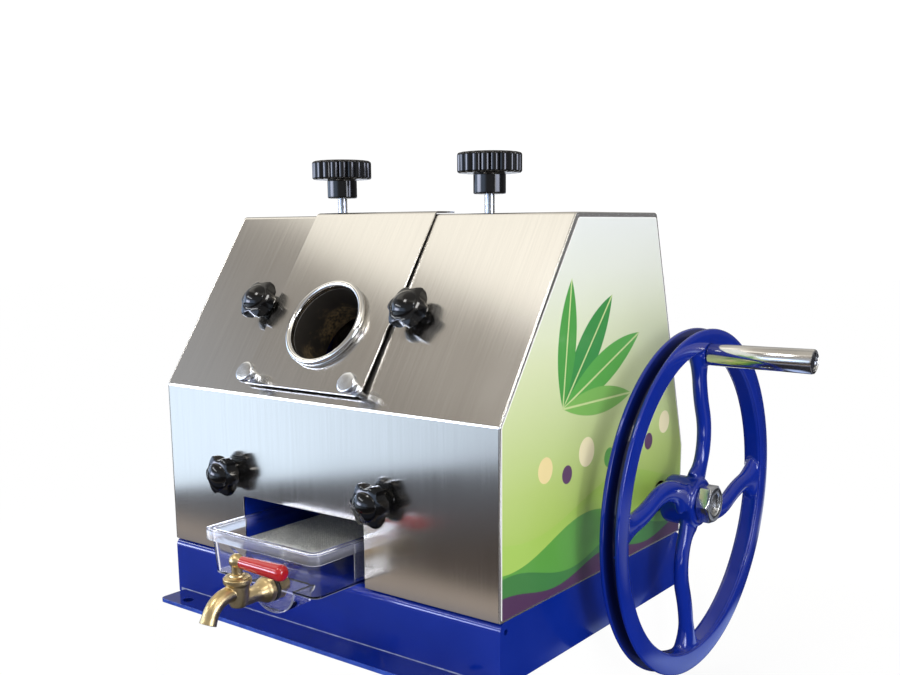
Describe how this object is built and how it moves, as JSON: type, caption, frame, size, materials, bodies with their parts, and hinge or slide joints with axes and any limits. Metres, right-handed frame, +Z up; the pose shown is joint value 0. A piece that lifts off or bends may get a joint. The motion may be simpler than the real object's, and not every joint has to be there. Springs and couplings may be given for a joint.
{
  "type": "sugarcane juicer",
  "caption": "Hand-cranked roller juicer: sloped stainless cover with feed port, spoked hand wheel with handle, pressure knobs, clear juice tray with tap, on a folded bolt-down base.",
  "frame": {"origin": "middle of the four base bolt holes, at the underside of the base flanges", "axes": "+X to the hand wheel's side, +Y to the back, +Z up; the feed port and the tap face -Y"},
  "size_m": [0.5435, 0.5615, 0.4953],
  "materials": {
    "blue_paint": "gloss cobalt blue paint on steel and cast iron",
    "brushed_stainless": "brushed stainless sheet with vertical grain",
    "polished_stainless": "polished stainless tube with a rolled lip",
    "decal_film": "plain film fading from pale grey-green to lime",
    "zinc": "bright zinc plated steel",
    "machined_steel": "turned and ground steel",
    "gear_steel": "cut steel with a film of grease",
    "bronze": "cast bronze bearing metal",
    "black_plastic": "glossy black moulded plastic",
    "chrome": "bright chrome plate",
    "clear_plastic": "clear moulded plastic with a faint lilac tint",
    "strainer_steel": "perforated grey stainless sheet",
    "brass": "cast and tumbled brass",
    "black_rubber": "matt black rubber",
    "red_sleeve": "glossy red dipped plastic"
  },
  "bodies": {
    "frame": {"base_frame": "blue_paint", "base_end_plates": "blue_paint", "cover": "brushed_stainless", "left_side_panel": "brushed_stainless", "right_side_panel": "brushed_stainless", "side_decal": "decal_film", "feed_panel": "brushed_stainless", "feed_port": "polished_stainless", "panel_bolts": "zinc", "panel_nuts": "zinc", "left_cheek": "blue_paint", "right_cheek": "blue_paint", "cheek_bolts": "zinc", "tie_bars": "machined_steel", "tie_nuts": "zinc", "lower_roller_bushes": "bronze", "drive_shaft_bushes": "bronze", "left_bridge": "machined_steel", "right_bridge": "machined_steel", "bridge_bolts": "zinc", "trash_plate": "machined_steel", "bagasse_chute": "brushed_stainless"},
    "hand_wheel": {"drive_shaft": "machined_steel", "shaft_collar": "zinc", "drive_pinion": "gear_steel", "pinion_key": "machined_steel", "hand_wheel": "blue_paint", "wheel_key": "machined_steel", "wheel_nut": "zinc", "handle_spindle": "zinc"},
    "handle_grip": {"handle_grip": "chrome"},
    "rear_roller": {"rear_roller": "machined_steel", "rear_roller_gear": "gear_steel", "drive_gear": "gear_steel", "rear_gear_keys": "machined_steel"},
    "top_carriage": {"left_top_block": "bronze", "right_top_block": "bronze", "pressure_pads": "machined_steel"},
    "top_roller": {"top_roller": "machined_steel", "top_roller_gear": "gear_steel", "top_gear_key": "machined_steel"},
    "front_roller": {"front_roller": "machined_steel", "front_roller_gear": "gear_steel", "front_gear_key": "machined_steel"},
    "left_pressure_screw": {"left_pressure_screw": "zinc", "left_pressure_knob": "black_plastic"},
    "right_pressure_screw": {"right_pressure_screw": "zinc", "right_pressure_knob": "black_plastic"},
    "front_left_star_knob": {"front_left_star_knob": "black_plastic"},
    "front_right_star_knob": {"front_right_star_knob": "black_plastic"},
    "slope_left_star_knob": {"slope_left_star_knob": "black_plastic"},
    "slope_right_star_knob": {"slope_right_star_knob": "black_plastic"},
    "juice_tray": {"juice_tray": "clear_plastic", "strainer": "strainer_steel", "tap_body": "brass", "tap_washer": "black_rubber", "tap_lock_nut": "brass"},
    "tap_lever": {"tap_plug": "brass", "tap_lever": "brass", "lever_sleeve": "red_sleeve"}
  },
  "joints": [
    {"name": "wheel_spin", "type": "hinge", "parent": "frame", "child": "hand_wheel", "pos_m": [0, 0.113, 0.10273], "axis": [1, 0, 0], "continuous": true},
    {"name": "handle_spin", "type": "hinge", "parent": "hand_wheel", "child": "handle_grip", "pos_m": [0, 0.11796, 0.24465], "axis": [1, 0, 0], "continuous": true},
    {"name": "rear_roller_spin", "type": "hinge", "parent": "frame", "child": "rear_roller", "pos_m": [0, 0.0395, 0.1798], "axis": [1, 0, 0], "continuous": true},
    {"name": "roller_gap", "type": "slide", "parent": "frame", "child": "top_carriage", "axis": [0, 0, 1], "range_m": [0, 0.003]},
    {"name": "top_roller_spin", "type": "hinge", "parent": "top_carriage", "child": "top_roller", "pos_m": [0, 0, 0.24], "axis": [1, 0, 0], "continuous": true},
    {"name": "front_roller_spin", "type": "hinge", "parent": "frame", "child": "front_roller", "pos_m": [0, -0.0395, 0.1798], "axis": [1, 0, 0], "continuous": true},
    {"name": "left_screw_turn", "type": "hinge", "parent": "top_carriage", "child": "left_pressure_screw", "pos_m": [-0.1085, 0, 0.39], "axis": [0, 0, 1], "range_deg": [0, 721]},
    {"name": "right_screw_turn", "type": "hinge", "parent": "top_carriage", "child": "right_pressure_screw", "pos_m": [0.0765, 0, 0.39], "axis": [0, 0, 1], "range_deg": [0, 721]},
    {"name": "front_left_knob_turn", "type": "hinge", "parent": "frame", "child": "front_left_star_knob", "pos_m": [-0.1085, -0.16, 0.136], "axis": [0, -1, 0], "range_deg": [0, 1080]},
    {"name": "front_right_knob_turn", "type": "hinge", "parent": "frame", "child": "front_right_star_knob", "pos_m": [0.0765, -0.16, 0.136], "axis": [0, -1, 0], "range_deg": [0, 1080]},
    {"name": "slope_left_knob_turn", "type": "hinge", "parent": "frame", "child": "slope_left_star_knob", "pos_m": [-0.1085, -0.10864, 0.28983], "axis": [0, -0.8297, 0.5582], "range_deg": [0, 1080]},
    {"name": "slope_right_knob_turn", "type": "hinge", "parent": "frame", "child": "slope_right_star_knob", "pos_m": [0.0765, -0.10864, 0.28983], "axis": [0, -0.8297, 0.5582], "range_deg": [0, 1080]},
    {"name": "tray_slide", "type": "slide", "parent": "frame", "child": "juice_tray", "axis": [0, -1, 0], "range_m": [-0.018, 0.2]},
    {"name": "tap_turn", "type": "hinge", "parent": "juice_tray", "child": "tap_lever", "pos_m": [-0.007, -0.247, 0.0915], "axis": [0, 0, -1], "range_deg": [0, 90]}
  ],
  "couplings": [
    {"joint": "rear_roller_spin", "follows": "wheel_spin", "ratio": -0.26786},
    {"joint": "top_roller_spin", "follows": "wheel_spin", "ratio": 0.26786},
    {"joint": "front_roller_spin", "follows": "wheel_spin", "ratio": -0.26786},
    {"joint": "left_screw_turn", "follows": "roller_gap", "rad_per_m": 4188.8},
    {"joint": "right_screw_turn", "follows": "roller_gap", "rad_per_m": 4188.8}
  ]
}
